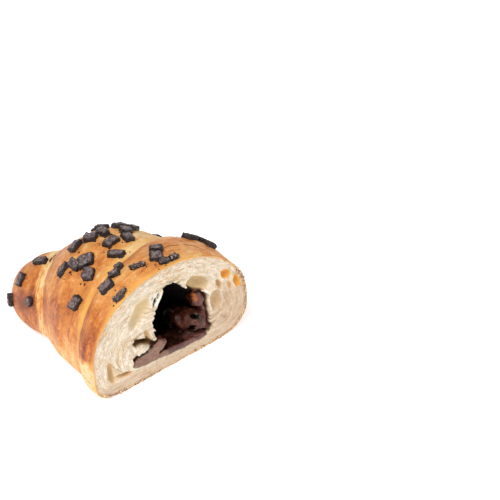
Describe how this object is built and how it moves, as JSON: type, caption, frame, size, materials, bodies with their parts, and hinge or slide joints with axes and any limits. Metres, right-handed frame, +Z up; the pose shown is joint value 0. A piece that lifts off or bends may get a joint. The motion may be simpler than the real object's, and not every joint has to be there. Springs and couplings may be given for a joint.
{
  "type": "filled croissant, cut piece",
  "caption": "End piece of a praline-filled croissant, cut straight across: rolled crust with chocolate chips, airy crumb, open hollow with praline.",
  "frame": {"origin": "on the flat base, 30 mm behind the cut face and in line with the middle of the cut", "axes": "+Z up; the cut faces -Y; the tip points to +Y and swings to -X"},
  "size_m": [0.0751, 0.071, 0.0482],
  "materials": {
    "crust": "baked, egg-washed, slightly glossy",
    "crumb": "matt, porous",
    "praline": "wet, glossy",
    "chips": "waxy chocolate"
  },
  "bodies": {
    "root": {"dough": "crust", "praline": "praline"}
  },
  "joints": []
}
